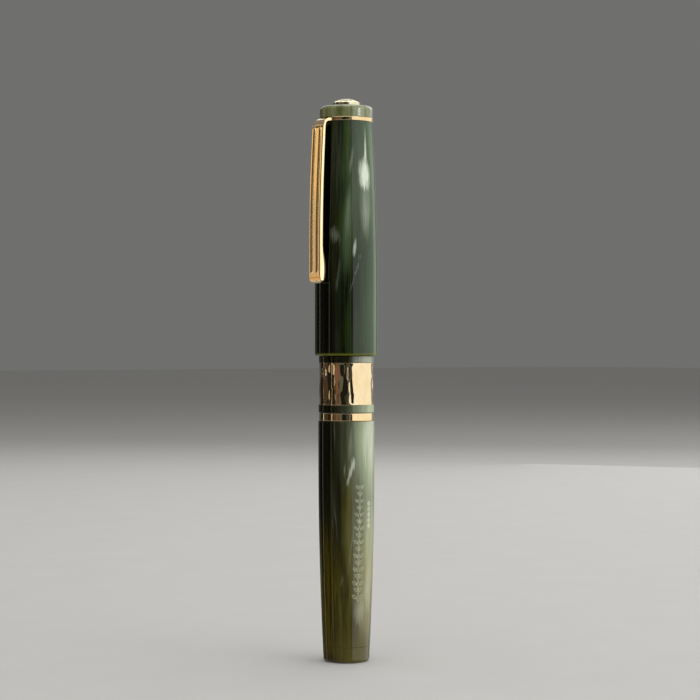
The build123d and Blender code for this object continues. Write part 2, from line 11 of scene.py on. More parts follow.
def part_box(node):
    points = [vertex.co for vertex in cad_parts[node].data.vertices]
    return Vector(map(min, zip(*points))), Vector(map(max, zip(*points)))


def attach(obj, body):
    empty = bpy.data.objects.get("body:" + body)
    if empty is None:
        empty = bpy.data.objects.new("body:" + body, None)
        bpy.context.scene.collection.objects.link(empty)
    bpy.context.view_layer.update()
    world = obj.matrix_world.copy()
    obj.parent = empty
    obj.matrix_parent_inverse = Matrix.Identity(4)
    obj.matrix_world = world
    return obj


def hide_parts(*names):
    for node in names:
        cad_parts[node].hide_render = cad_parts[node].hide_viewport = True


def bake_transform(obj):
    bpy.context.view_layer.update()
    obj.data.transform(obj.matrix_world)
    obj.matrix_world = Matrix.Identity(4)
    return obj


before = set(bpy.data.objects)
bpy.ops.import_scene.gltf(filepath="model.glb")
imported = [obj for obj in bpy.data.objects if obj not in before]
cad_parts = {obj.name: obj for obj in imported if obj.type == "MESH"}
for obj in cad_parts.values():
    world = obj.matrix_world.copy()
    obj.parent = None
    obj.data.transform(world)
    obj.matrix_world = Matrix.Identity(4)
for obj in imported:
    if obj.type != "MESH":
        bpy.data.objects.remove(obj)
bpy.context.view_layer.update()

MM = 0.001
SIDES = 160                 # facets round a turned piece
CORNER_STEPS = 5            # facets in a rounded corner
FRONT = 51.3                # azimuth of the main camera; the clip is at azimuth 0


# --- places, read from the frame, in millimetres -----------------------------

def levels(node):
    """Lowest and highest level of a CAD node."""
    low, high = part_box(node)
    return low.z / MM, high.z / MM


def reach(node):
    """Outer radius of a turned CAD node."""
    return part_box(node)[1].x / MM


def front_angle(right_of_front):
    """Polar angle, in radians, of a place so many degrees right of the side that faces the camera."""
    return math.radians(FRONT - 90 + right_of_front)


# --- turned pieces ------------------------------------------------------------

def rounded(*corners):
    """A closed outline of (radius, height) points.

    A corner with a third number is rounded by that radius, with a short straight run on both sides of it,
    so that the smooth shading of the corner doesn't spread over the flats.
    """
    points = []
    lead_in = 0.25
    count = len(corners)
    for i, corner in enumerate(corners):
        here = Vector(corner[:2])
        if len(corner) < 3:
            points.append(here)
            continue
        before = (Vector(corners[i - 1][:2]) - here).normalized()
        after = (Vector(corners[(i + 1) % count][:2]) - here).normalized()
        half_angle = before.angle(after) / 2
        run = corner[2] / math.tan(half_angle)
        centre = here + (before + after).normalized() * corner[2] / math.sin(half_angle)
        first = here + before * run - centre
        last = here + after * run - centre
        turn = first.angle_signed(last)
        points.append(centre + first + before * lead_in * corner[2])
        for step in range(CORNER_STEPS + 1):
            angle = -turn * step / CORNER_STEPS
            cos, sin = math.cos(angle), math.sin(angle)
            points.append(centre + Vector((first.x * cos - first.y * sin, first.x * sin + first.y * cos)))
        points.append(centre + last + after * lead_in * corner[2])
    return [(p.x, p.y) for p in points]


def bowed(wide, narrow, wide_level, narrow_level):
    """The radius at any level of a side that is parallel up to one level and drawn in at the other."""
    drop = wide - narrow
    length = narrow_level - wide_level
    bulge = (length ** 2 + drop ** 2) / (2 * drop)

    def radius(level):
        along = level - wide_level
        if along * length <= 0:
            return wide
        return wide - bulge + math.sqrt(bulge ** 2 - along ** 2)

    return radius


def side(radius, low, high, steps=24):
    """Points up a side whose radius at any level is given."""
    levels_up = [low + (high - low) * i / steps for i in range(steps + 1)]
    return [(radius(level), level) for level in levels_up]


def new_mesh(name, vertices, faces, material, sharp=35):
    """A smooth mesh object from millimetre vertices, with edges over so many degrees kept sharp."""
    mesh = bpy.data.meshes.new(name)
    mesh.from_pydata([tuple(c * MM for c in v) for v in vertices], [], faces)
    mesh.validate()
    piece = bpy.data.objects.new(name, mesh)
    bpy.context.scene.collection.objects.link(piece)
    bpy.context.view_layer.objects.active = piece
    piece.select_set(True)
    bpy.ops.object.mode_set(mode="EDIT")
    bpy.ops.mesh.select_all(action="SELECT")
    bpy.ops.mesh.normals_make_consistent(inside=False)
    bpy.ops.object.mode_set(mode="OBJECT")
    piece.select_set(False)
    mesh.shade_smooth()
    mesh.set_sharp_from_angle(angle=math.radians(sharp))
    mesh.materials.append(material)
    return piece


def riding(piece, body):
    """The piece, now moving with a body."""
    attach(piece, body)
    return piece


def turned(name, outline, body, material, relief=None, sides=SIDES):
    """A solid of revolution. relief(radius, level, angle) gives a point's own radius and level."""
    vertices, faces, rows = [], [], []
    for radius, level in outline:
        if radius < 1e-6:
            rows.append([len(vertices)] * sides)
            vertices.append((0, 0, level))
            continue
        rows.append(list(range(len(vertices), len(vertices) + sides)))
        for facet in range(sides):
            angle = 2 * math.pi * facet / sides
            r, z = relief(radius, level, angle) if relief else (radius, level)
            vertices.append((r * math.cos(angle), r * math.sin(angle), z))
    for row, after in zip(rows, rows[1:] + rows[:1]):
        for facet in range(sides):
            beside = (facet + 1) % sides
            corners = list(dict.fromkeys((row[facet], row[beside], after[beside], after[facet])))
            if len(corners) > 2:
                faces.append(corners)
    return riding(new_mesh(name, vertices, faces, material), body)


# --- node helpers for materials ------------------------------------------------

def feed(tree, socket, value):
    """Puts a number, a colour or another node's output into a socket."""
    if isinstance(value, bpy.types.NodeSocket):
        tree.links.new(value, socket)
    else:
        socket.default_value = value


def calculate(tree, operation, *values):
    """A sum, product or other calculation on numbers or outputs."""
    node = tree.nodes.new("ShaderNodeMath")
    node.operation = operation
    for socket, value in zip(node.inputs, values):
        feed(tree, socket, value)
    return node.outputs[0]


class Shader:
    """A material's node tree, with short calls for the nodes used here."""

    def __init__(self, name, **settings):
        """Settings go to the main shader's own sockets, with _ for a space in a socket's name."""
        self.material = bpy.data.materials.new(name)
        self.material.use_nodes = True
        self.tree = self.material.node_tree
        self.nodes = self.tree.nodes
        self.links = self.tree.links
        self.main = self.nodes["Principled BSDF"]
        for socket, value in settings.items():
            self.main.inputs[socket.replace("_", " ")].default_value = value

    def set_main(self, socket, value):
        """Feeds one of the main shader's sockets."""
        feed(self.tree, self.main.inputs[socket], value)

    def math(self, operation, *values):
        """A calculation on numbers or outputs."""
        return calculate(self.tree, operation, *values)

    def place(self, stretch=(1, 1, 1), offset=(0, 0, 0)):
        """The place on the piece, in millimetres, stretched and shifted."""
        coordinates = self.nodes.new("ShaderNodeTexCoord")
        mapping = self.nodes.new("ShaderNodeMapping")
        self.links.new(coordinates.outputs["Object"], mapping.inputs["Vector"])
        mapping.inputs["Scale"].default_value = [s / MM for s in stretch]
        mapping.inputs["Location"].default_value = offset
        return mapping.outputs["Vector"]

    def noise(self, place, scale, detail=3.0, roughness=0.5, distortion=0.0):
        """Noise between 0 and 1, with so many grains in a millimetre."""
        node = self.nodes.new("ShaderNodeTexNoise")
        self.links.new(place, node.inputs["Vector"])
        node.inputs["Scale"].default_value = scale
        node.inputs["Detail"].default_value = detail
        node.inputs["Roughness"].default_value = roughness
        node.inputs["Distortion"].default_value = distortion
        return node.outputs["Fac"]

    def ramp(self, value, low, high, low_out=0.0, high_out=1.0, smooth=True):
        """A value that goes from one output to the other as the input goes from low to high."""
        node = self.nodes.new("ShaderNodeMapRange")
        node.interpolation_type = "SMOOTHSTEP" if smooth else "LINEAR"
        for socket, number in zip(node.inputs, (value, low, high, low_out, high_out)):
            feed(self.tree, socket, number)
        return node.outputs[0]

    def mix(self, factor, first, second):
        """The first colour where the factor is 0, the second where it is 1."""
        node = self.nodes.new("ShaderNodeMix")
        node.data_type = "RGBA"
        for label, value in (("Factor", factor), ("A", first), ("B", second)):
            feed(self.tree, node.inputs[label], value)
        return node.outputs["Result"]

    def bump(self, height, strength, distance):
        """A bump whose height is in millimetres."""
        node = self.nodes.new("ShaderNodeBump")
        node.inputs["Strength"].default_value = strength
        node.inputs["Distance"].default_value = distance * MM
        self.links.new(height, node.inputs["Height"])
        return node.outputs["Normal"]


# --- resin ---------------------------------------------------------------------

def plume_group():
    """A soft-edged, pointed, leaning patch: 1 at its centre, 0 outside it."""
    edge_softness, least_width = 1.3, 0.1
    group = bpy.data.node_groups.new("plume", "ShaderNodeTree")
    names = ("Across", "Level", "Centre", "Height", "Half Width", "Half Length", "Lean", "Point")
    for name in names:
        group.interface.new_socket(name, in_out="INPUT", socket_type="NodeSocketFloat")
    group.interface.new_socket("Mask", in_out="OUTPUT", socket_type="NodeSocketFloat")
    given = group.nodes.new("NodeGroupInput").outputs
    result = group.nodes.new("NodeGroupOutput").inputs

    def step(operation, *values):
        """One calculation inside the group."""
        return calculate(group, operation, *values)

    rise = step("SUBTRACT", given["Level"], given["Height"])
    along = step("DIVIDE", rise, given["Half Length"])
    middle = step("ADD", given["Centre"], step("MULTIPLY", rise, given["Lean"]))
    drawn_in = step("SUBTRACT", 1.0, step("MULTIPLY", along, given["Point"]))
    narrowing = step("MAXIMUM", drawn_in, least_width)
    width = step("MULTIPLY", given["Half Width"], narrowing)
    across = step("DIVIDE", step("SUBTRACT", given["Across"], middle), width)
    distance = step("ADD", step("MULTIPLY", across, across), step("MULTIPLY", along, along))
    inside = step("MAXIMUM", step("SUBTRACT", 1.0, distance), 0.0)
    group.links.new(step("POWER", inside, edge_softness), result["Mask"])
    return group


PLUME = plume_group()


def marks_mask(shader, across, level, marks):
    """Where any of the marks lies.

    A mark is (degrees right of the front, level, half width in degrees, half length, lean in degrees per
    millimetre, how much it narrows upwards, strength). Levels and lengths are in millimetres.
    """
    labels = ("Centre", "Height", "Half Width", "Half Length", "Lean", "Point")
    mask = 0.0
    for *numbers, strength in marks:
        node = shader.nodes.new("ShaderNodeGroup")
        node.node_tree = PLUME
        shader.links.new(across, node.inputs["Across"])
        shader.links.new(level, node.inputs["Level"])
        for label, number in zip(labels, numbers):
            node.inputs[label].default_value = number
        mask = shader.math("MAXIMUM", mask, shader.math("MULTIPLY", node.outputs["Mask"], strength))
    return mask


def resin(name, colours, layers, lip, seed):
    """Marbled acrylic: near-black green with drawn-out streaks, pearly marks under a clear polish.

    A layer is (colour name, how much it shimmers, how softly it fades, its marks). Just above the level
    of the lip the colour is mixed towards a painted glow, which stands in for light shining through the
    thin wall.
    """
    wander_degrees, ragged_mm = 9.0, 7.0
    shader = Shader(
        name, IOR=1.45, Coat_Weight=1.0, Coat_Roughness=0.02, Coat_IOR=1.45, Specular_IOR_Level=0.0
    )
    front = shader.place()
    front.node.inputs["Rotation"].default_value = (0, 0, -front_angle(0))
    split = shader.nodes.new("ShaderNodeSeparateXYZ")
    shader.links.new(front, split.inputs[0])
    angle = shader.math("ARCTAN2", split.outputs["Y"], split.outputs["X"])
    degrees = shader.math("MULTIPLY", angle, math.degrees(1))

    cloud_place = shader.place((1, 1, 0.10), (seed, 0, 0))
    drift = shader.noise(cloud_place, 0.33, detail=4, roughness=0.55, distortion=0.7)
    grain = shader.noise(shader.place((1, 1, 0.030), (0, seed, 0)), 1.6, detail=5, roughness=0.6)
    fibre = shader.noise(shader.place((1, 1, 0.055), (0, 0, seed)), 3.2, detail=4, roughness=0.62)
    wander = shader.math("MULTIPLY", shader.math("SUBTRACT", drift, 0.5), wander_degrees)
    ragged = shader.math("MULTIPLY", shader.math("SUBTRACT", fibre, 0.5), ragged_mm)
    across = shader.math("ADD", degrees, wander)
    level = shader.math("ADD", split.outputs["Z"], ragged)

    colour = shader.mix(shader.ramp(drift, 0.36, 0.62), colours["dark"], colours["deep"])
    streak = shader.math("MULTIPLY", shader.ramp(grain, 0.48, 0.70), shader.ramp(drift, 0.36, 0.60))
    colour = shader.mix(shader.math("MULTIPLY", streak, 0.7), colour, colours["olive"])
    low, high = colours["sage_levels"]
    # the sage streak colour, paler higher up; the wide marks right of the front also use it as painted
    # light, paler on the lit side
    sage = shader.mix(shader.ramp(split.outputs["Z"], low, high), colours["sage_low"], colours["sage"])
    haze = shader.math("ADD", drift, shader.math("MULTIPLY", grain, 0.6))
    veil = shader.ramp(haze, 0.60, 0.95, 0.72, 1.0)
    feather = shader.ramp(fibre, 0.34, 0.60, 0.55, 1.0)
    threads = shader.ramp(grain, 0.36, 0.62, 0.25, 1.0)
    textures = {"pearl": feather, "moss": threads, "leaf": threads, "umber": threads}
    shimmer = 0.0
    for kind, sheen, softness, marks in layers:
        mask = shader.math("POWER", marks_mask(shader, across, level, marks), softness)
        mask = shader.math("MINIMUM", shader.math("MULTIPLY", mask, textures.get(kind, veil)), 1.0)
        colour = shader.mix(mask, colour, sage if kind == "sage" else colours[kind])
        kept = shader.math("MULTIPLY", shimmer, shader.math("SUBTRACT", 1.0, mask))
        shimmer = shader.math("ADD", kept, shader.math("MULTIPLY", mask, sheen))
    # painted glow: just above the lip the colour turns towards the glow colour, in place of light through
    # the thin wall
    glow = shader.ramp(split.outputs["Z"], lip + 0.25, lip + 0.75, 0.75, 0.0)
    colour = shader.mix(glow, colour, colours["glow"])

    shader.set_main("Base Color", colour)
    shader.set_main("Metallic", shader.math("MULTIPLY", shimmer, 0.75))
    shader.set_main("Roughness", shader.ramp(shimmer, 0, 1, 0.5, 0.38, smooth=False))
    shader.set_main("Normal", shader.bump(shader.math("ADD", grain, fibre), 0.35, 0.05))
    return shader.material


CAP_COLOURS = {
    "dark": (0.0022, 0.0032, 0.001, 1), "deep": (0.011, 0.017, 0.0048, 1),
    "olive": (0.034, 0.043, 0.012, 1),
    # sage: sage streak colour, also used as painted light on the lit side
    "sage_low": (0.066, 0.105, 0.050, 1), "sage": (0.105, 0.160, 0.085, 1), "sage_levels": (92.0, 118.0),
    # glow: painted glow just above the lip, standing in for light through the thin wall
    # rim: painted highlight colour for a pale strip down the cap's lit right side
    "pearl": (0.74, 0.82, 0.66, 1), "glow": (0.16, 0.17, 0.008, 1), "rim": (0.20, 0.32, 0.13, 1),
    "moss": (0.040, 0.054, 0.028, 1), "leaf": (0.060, 0.100, 0.016, 1),
}
BARREL_COLOURS = {
    "dark": (0.0035, 0.004, 0.001, 1), "deep": (0.020, 0.023, 0.006, 1),
    "olive": (0.052, 0.054, 0.014, 1),
    # sage: sage streak colour, also used as painted light on the lit side
    "sage_low": (0.58, 0.54, 0.24, 1), "sage": (0.62, 0.72, 0.45, 1), "sage_levels": (14.0, 46.0),
    # glow: painted glow just above the lip, standing in for light through the thin wall
    "pearl": (0.78, 0.82, 0.66, 1), "glow": (0.04, 0.03, 0.004, 1), "umber": (0.084, 0.062, 0.001, 1),
    "shade": (0.120, 0.102, 0.018, 1), "moss": (0.050, 0.058, 0.030, 1), "leaf": (0.105, 0.098, 0.018, 1),
}
CAP_LAYERS = (
    ("moss", 0.0, 0.8, (
        (-26, 120.0, 20, 16.0, 0.2, 0.0, 1.1),
        (-22, 103.6, 15, 2.6, 1.5, 0.0, 1.0),
        (-14, 94.0, 5, 5.5, 0.6, 0.0, 0.9),
        (-18, 78.0, 9, 4.0, 0.0, 0.0, 0.6),
    )),
    ("dark", 0.0, 1.0, (
        (-36, 82.0, 34, 20.0, 0.0, 0.0, 1.0),
        (-46, 112.0, 19, 40.0, 0.0, 0.0, 2.2),
    )),
    ("leaf", 0.0, 0.8, (
        (0, 123.0, 9, 14.0, 0.2, 0.0, 0.9),
        (-6, 107.0, 15, 10.0, 0.6, 0.0, 0.65),
        (2, 80.0, 8, 9.0, 0.0, 0.0, 0.45),
        (8, 108.0, 12, 15.0, 0.0, 0.0, 0.8),
    )),
    # painted light: the two wide marks centred right of the front paint the lit side paler; the other
    # marks are sage streaks
    ("sage", 0.1, 1.0, (
        (64, 122.0, 84, 42.0, 0.0, 0.0, 1.0),
        (66, 84.0, 66, 34.0, 0.0, 0.0, 1.0),
        (3, 105.5, 15, 14.0, 0.5, 0.0, 1.2),
        (-108, 96.0, 34, 24.0, 0.6, 0.2, 0.9),
        (156, 100.0, 26, 30.0, -0.4, 0.2, 0.8),
    )),
    # rim: a painted highlight, a pale strip down the cap's lit right side where the light catches it
    ("rim", 0.2, 1.0, (
        (66, 90.0, 8, 50.0, 0.0, 0.0, 0.5),
        (63, 118.0, 7, 16.0, -0.5, 0.0, 0.5),
    )),
    ("pearl", 1.0, 1.0, (
        (40, 118.2, 15, 5.0, 0.0, 0.4, 1.5),
        (30, 119.6, 7, 2.2, 0.0, 0.3, 0.7),
        (42, 123.5, 3.6, 6.5, 0.2, 0.6, 1.1),
        (40, 110.5, 15, 9.0, 0.1, 0.0, 0.34),
        (10, 121.5, 3.5, 4.0, 1.2, 0.3, 0.22),
        (4, 109.0, 6.5, 7.5, 0.5, 0.3, 0.16),
        (-22, 103.4, 12, 2.2, -2.0, 0.0, 0.18),
        # painted highlight: this small bright pearl patch stands for a glint
        (16.5, 100.2, 3.6, 2.6, 0.6, 0.2, 0.95),
        (-15, 93.6, 3.2, 4.6, 0.8, 0.3, 0.10),
        (18, 94.5, 1.5, 6.5, 2.4, 0.0, 0.20),
        (-100, 118.0, 16, 11.0, 0.4, 0.4, 0.9),
        (-146, 96.0, 12, 12.0, -0.5, 0.3, 0.7),
        (146, 106.0, 14, 12.0, 0.5, 0.4, 0.9),
        (118, 86.0, 8, 9.0, 0.5, 0.2, 0.5),
    )),
)
BARREL_LAYERS = (
    ("umber", 0.0, 1.0, (
        (-58, 6.0, 74, 32.0, 0.0, 0.0, 1.7),
        (-6, 9.0, 46, 20.0, 0.0, 0.0, 0.9),
    )),
    ("moss", 0.0, 0.8, (
        (-8, 52.0, 22, 13.0, 0.0, 0.0, 1.0),
        (-22, 37.0, 10, 9.0, -0.8, 0.0, 0.55),
    )),
    ("dark", 0.0, 1.0, (
        (-56, 52.0, 30, 24.0, 0.0, 0.0, 1.3),
        (-20, 0.0, 60, 4.3, 0.0, 0.0, 0.6),
        (-14, 38.0, 15, 12.0, 0.3, 0.0, 0.45),
    )),
    ("leaf", 0.0, 0.8, (
        (6, 34.0, 18, 24.0, 0.0, 0.0, 1.1),
        (-14, 12.0, 26, 15.0, 0.0, 0.0, 0.55),
    )),
    # painted light: the three wide marks centred right of the front paint the lit side paler; the other
    # marks are sage streaks
    ("sage", 0.6, 1.8, (
        (76, 54.0, 98, 34.0, 0.0, 0.0, 1.0),
        (76, 25.0, 92, 36.0, 0.0, 0.0, 1.0),
        (66, 62.0, 92, 4.0, 0.0, 0.0, 0.7),
        (-110, 34.0, 34, 20.0, 0.6, 0.2, 0.9),
        (172, 36.0, 26, 26.0, -0.4, 0.2, 0.8),
    )),
    ("shade", 0.1, 1.0, (
        (28, 37.0, 14, 12.0, 0.0, 0.0, 0.35),
        (32, 0.5, 76, 9.0, 0.0, 0.0, 1.3),
    )),
    ("pearl", 1.0, 1.0, (
        (9, 46.4, 5.5, 3.3, 2.4, 0.0, 1.5),
        (13, 48.4, 5.5, 1.6, 1.0, 0.0, 0.9),
        (8, 53.0, 5.0, 4.5, 0.3, 0.4, 0.20),
        (-4, 47.2, 2.4, 2.4, 0.5, 0.2, 0.25),
        (58, 54.5, 30, 9.0, 0.0, 0.1, 0.55),
        (31, 12.8, 18, 3.8, 0.6, 0.0, 0.34),
        (54, 18.0, 15, 8.0, 0.4, 0.0, 0.30),
        (9, 27.5, 1.8, 6.5, 1.2, 0.0, 0.18),
        (-23, 35.5, 1.5, 6.5, -1.1, 0.0, 0.14),
        (-29, 33.0, 1.3, 9.0, 0.0, 0.0, 0.10),
        (-25, 55.5, 1.6, 4.5, 0.0, 0.0, 0.14),
        (-9, 20.2, 4.0, 1.0, 3.0, 0.0, 0.10),
        (44, 73.4, 38, 5.0, 0.0, 0.0, 0.50),
        (-110, 40.0, 15, 12.0, 0.5, 0.3, 0.8),
        (-74, 20.0, 6, 9.0, 0.4, 0.3, 0.20),
        (164, 24.0, 14, 12.0, -0.4, 0.3, 0.7),
    )),
)
CAP_MOUTH = levels("cap_tube")[0]

cap_resin = resin("cap_resin", CAP_COLOURS, CAP_LAYERS, CAP_MOUTH, 3.0)
barrel_resin = resin("barrel_resin", BARREL_COLOURS, BARREL_LAYERS, -0.4, 11.0)


def crown_resin():
    """Paler olive acrylic, slightly cloudy, with faint upright bands."""
    shader = Shader(
        "crown_resin", IOR=1.5, Coat_Weight=1.0, Coat_Roughness=0.02, Roughness=0.35,
        Subsurface_Weight=0.35, Subsurface_Scale=0.0025
    )
    shader.main.inputs["Subsurface Radius"].default_value = (1.0, 1.0, 0.5)
    bands = shader.noise(shader.place((1, 1, 0.05)), 0.8, detail=3)
    colour = shader.mix(shader.ramp(bands, 0.35, 0.65), (0.12, 0.135, 0.032, 1), (0.27, 0.285, 0.13, 1))
    shader.set_main("Base Color", colour)
    return shader.material


# --- metal, plastic, rubber ------------------------------------------------------

def polished_metal(name, colour, worn, roughness):
    """Polished metal with faint smears in its gloss and hairline marks."""
    scratch_depth = 0.0012
    shader = Shader(name, Metallic=1.0)
    smear = shader.noise(shader.place((1, 1, 0.6)), 0.45, detail=4)
    hairline = shader.noise(shader.place((1, 1, 0.15)), 9.0, detail=2)
    shader.set_main("Base Color", shader.mix(shader.ramp(smear, 0.35, 0.7), colour, worn))
    gloss = shader.math("ADD", shader.ramp(smear, 0.3, 0.75, roughness * 0.7, roughness * 1.5),
                        shader.ramp(hairline, 0.5, 0.8, 0.0, 0.03))
    shader.set_main("Roughness", gloss)
    shader.set_main("Normal", shader.bump(hairline, 0.25, scratch_depth))
    return shader.material


def plastic(name, dark, light, roughness, coat=0.0):
    """Moulded plastic, ebonite or rubber with a fine uneven surface."""
    grain_size, unevenness = 0.6, 0.15
    shader = Shader(name, IOR=1.5, Coat_Weight=coat, Coat_Roughness=0.04)
    grain = shader.noise(shader.place(), 1 / grain_size, detail=5, roughness=0.65)
    shader.set_main("Base Color", shader.mix(shader.ramp(grain, 0.3, 0.7), dark, light))
    smoothest, roughest = roughness * (1 - unevenness), roughness * (1 + unevenness)
    shader.set_main("Roughness", shader.ramp(grain, 0.3, 0.7, smoothest, roughest))
    shader.set_main("Normal", shader.bump(grain, 0.2, 0.02))
    return shader.material


gold = polished_metal("polished_gold", (0.95, 0.75, 0.43, 1), (0.92, 0.68, 0.36, 1), 0.09)
hammered = polished_metal("hammered_gold", (0.96, 0.78, 0.48, 1), (0.93, 0.71, 0.40, 1), 0.07)
struck = polished_metal("medallion_gold", (0.90, 0.84, 0.60, 1), (0.78, 0.70, 0.44, 1), 0.18)
nib_gold = polished_metal("nib_gold", (0.93, 0.68, 0.33, 1), (0.88, 0.60, 0.26, 1), 0.12)
steel = polished_metal("spring_steel", (0.62, 0.62, 0.63, 1), (0.52, 0.52, 0.54, 1), 0.22)
chrome = polished_metal("converter_metal", (0.74, 0.74, 0.76, 1), (0.66, 0.66, 0.69, 1), 0.10)
black_resin = plastic("black_resin", (0.004, 0.004, 0.0045, 1), (0.009, 0.009, 0.010, 1), 0.3, coat=1.0)
ebonite = plastic("feed_ebonite", (0.010, 0.010, 0.010, 1), (0.020, 0.020, 0.021, 1), 0.55)
rubber = plastic("seal_rubber", (0.012, 0.012, 0.012, 1), (0.020, 0.020, 0.020, 1), 0.6)
off_white = plastic("inner_cap_plastic", (0.50, 0.50, 0.46, 1), (0.58, 0.58, 0.54, 1), 0.45)
dark_grey = plastic("piston_plastic", (0.035, 0.035, 0.037, 1), (0.055, 0.055, 0.058, 1), 0.45)


def clear_acrylic():
    """Clear tube wall: light passes, edges gather a faint tint."""
    shader = Shader("clear_acrylic", IOR=1.49, Transmission_Weight=1.0, Base_Color=(0.93, 0.97, 0.96, 1))
    haze = shader.noise(shader.place(), 1.2, detail=3)
    shader.set_main("Roughness", shader.ramp(haze, 0.35, 0.75, 0.01, 0.07))
    return shader.material


FINISHES = {
    "section_grip": black_resin, "nib_housing": black_resin, "converter_mouth": black_resin,
    "converter_knob": black_resin, "converter_rod_guide": dark_grey, "converter_spindle": dark_grey,
    "converter_piston": dark_grey, "converter_piston_rod": dark_grey, "feed": ebonite,
    "section_o_ring": rubber, "nib_o_ring": rubber, "inner_cap": off_white,
    "inner_cap_retainer": dark_grey, "cap_spring": steel, "spring_washer": steel, "cap_screw": steel,
    "nib_tipping": steel, "converter_sleeve": chrome, "converter_tube": clear_acrylic(), "nib": nib_gold,
    "section_trim_ring": gold, "section_front_ring": gold,
}
for node, material in FINISHES.items():
    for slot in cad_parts[node].material_slots:
        slot.material = material


# --- outside of the barrel -------------------------------------------------------

BARREL_RADIUS = reach("barrel_tube")
BARREL_END_RADIUS = 5.55
BARREL_PARALLEL_FROM = 50.0
CAP_RADIUS = reach("cap_tube")
CAP_TOP_RADIUS = 6.40
CAP_PARALLEL_TO = 88.0
SOCKET_RADIUS = 5.9
SCREW_HOLE = 1.75
EDGE = 0.1                  # how far a plain corner is rounded

SEAM, BARREL_TOP = levels("barrel_tube")
CAP_LIP, CAP_TOP = levels("cap_tube")
barrel_side = bowed(BARREL_RADIUS, BARREL_END_RADIUS, BARREL_PARALLEL_FROM, 0)
cap_side = bowed(CAP_RADIUS, CAP_TOP_RADIUS, CAP_PARALLEL_TO, CAP_TOP)


def shown(piece, node):
    """The piece stands for a CAD node, which is hidden."""
    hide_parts(node)
    return piece


def barrel_shell():
    """The barrel, with the collar's socket, the converter's bore and the hole for the end cap's stem."""
    stem_hole, stem_top = 3.0, 6.24
    bore, bore_floor = 4.3, 7.3
    upper_bore, bore_step, socket_floor = 4.75, 24, 48
    outline = rounded(
        (barrel_side(SEAM), SEAM, EDGE),
        *side(barrel_side, SEAM + 0.6, BARREL_PARALLEL_FROM),
        (BARREL_RADIUS, BARREL_TOP, EDGE),
        (SOCKET_RADIUS, BARREL_TOP),
        (SOCKET_RADIUS, socket_floor),
        (upper_bore, socket_floor),
        (upper_bore, bore_step),
        (bore, bore_step),
        (bore, bore_floor),
        (0, bore_floor),
        (0, stem_top),
        (stem_hole, stem_top),
        (stem_hole, SEAM),
    )
    return shown(turned("barrel_shell", outline, "barrel", barrel_resin), "barrel_tube")


def barrel_foot():
    """The barrel's end cap, on which the pen stands, with its stem."""
    node = "barrel_end_cap"
    stem, stem_top, base_corner = 2.98, levels(node)[1], 0.7
    outline = rounded(
        (0, 0),
        (BARREL_END_RADIUS, 0, base_corner),
        *side(barrel_side, 1.0, SEAM - 0.3, 6),
        (barrel_side(SEAM), SEAM, EDGE),
        (stem, SEAM),
        (stem, stem_top),
        (0, stem_top),
    )
    return shown(turned("barrel_foot", outline, "barrel", barrel_resin), node)


def ring(name, node, inner, corner, body, material):
    """A plain ring with rounded outer edges, as high and wide as its CAD node."""
    low, high = levels(node)
    outer = reach(node)
    outline = rounded((inner, low), (outer, low, corner), (outer, high, corner), (inner, high))
    return shown(turned(name, outline, body, material), node)


def collar():
    """The ring under the cap's lip, and the sleeve that carries the bands and takes the section."""
    node = "barrel_collar"
    low, high = levels(node)
    ledge = levels("barrel_band_wide")[1]
    outer, sleeve = reach(node), SOCKET_RADIUS - 0.02
    bore, thread_bore, bore_step = 4.75, 5.05, 64.0
    outline = rounded(
        (bore, low),
        (sleeve, low),
        (sleeve, ledge),
        (outer, ledge, 0.12),
        (outer, high, 0.2),
        (thread_bore, high),
        (thread_bore, bore_step),
        (bore, bore_step),
    )
    return shown(turned("collar", outline, "barrel", barrel_resin), node)


def hammer_marks(radius, low, high):
    """Hammer marks round a band: place round it and level in millimetres, and how shallow each one is."""
    across, tall = 1.35, 3.4
    luck = random.Random(5)
    columns = round(2 * math.pi * radius / across)
    rows = round((high - low) / tall) + 1
    marks = []
    for column in range(columns):
        shift = luck.uniform(-0.5, 0.5) * tall
        for row in range(-1, rows + 1):
            round_about = (column + luck.uniform(-0.4, 0.4)) * across
            level = low + shift + (row + luck.uniform(-0.35, 0.35)) * tall
            marks.append((round_about, level, luck.uniform(0.0, 0.16)))
    return np.array(marks)


def hammered_band():
    """The wide band: each blow has left a tall shallow hollow, and hollows meet in soft ridges."""
    node = "barrel_band_wide"
    low, high = levels(node)
    outer = reach(node)
    marks = hammer_marks(outer, low, high)
    girth = 2 * math.pi * outer
    hollow, squeeze, deepest, plain_edge = 0.115, 0.34, 0.075, 0.3

    def relief(radius, level, angle):
        """Sinks the outer face into the nearest hammer mark, but not at the plain rims."""
        if radius < outer - 0.001:
            return radius, level
        away = (marks[:, 0] - angle * outer + girth / 2) % girth - girth / 2
        rise = (marks[:, 1] - level) * squeeze
        nearest = float(np.min(away ** 2 + rise ** 2 + marks[:, 2]))
        edge = min(1.0, min(level - low, high - level) / plain_edge - 0.5)
        depth = max(0.0, deepest - hollow * nearest)
        return outer - depth * max(edge, 0), level

    inner, corner = SOCKET_RADIUS, 0.12
    margin, steps = 0.15, 90
    face = side(lambda level: outer, low + margin, high - margin, steps)
    outline = rounded((inner, low), (outer, low, corner), *face, (outer, high, corner), (inner, high))
    piece = turned("hammered_band", outline, "barrel", hammered, relief, sides=400)
    return shown(piece, node)


barrel_shell()
barrel_foot()
ring("narrow_band", "barrel_band_narrow", SOCKET_RADIUS, 0.3, "barrel", gold)
ring("spacer_ring", "barrel_spacer_ring", SOCKET_RADIUS, 0.2, "barrel", barrel_resin)
hammered_band()
collar()


# --- outside of the cap ----------------------------------------------------------

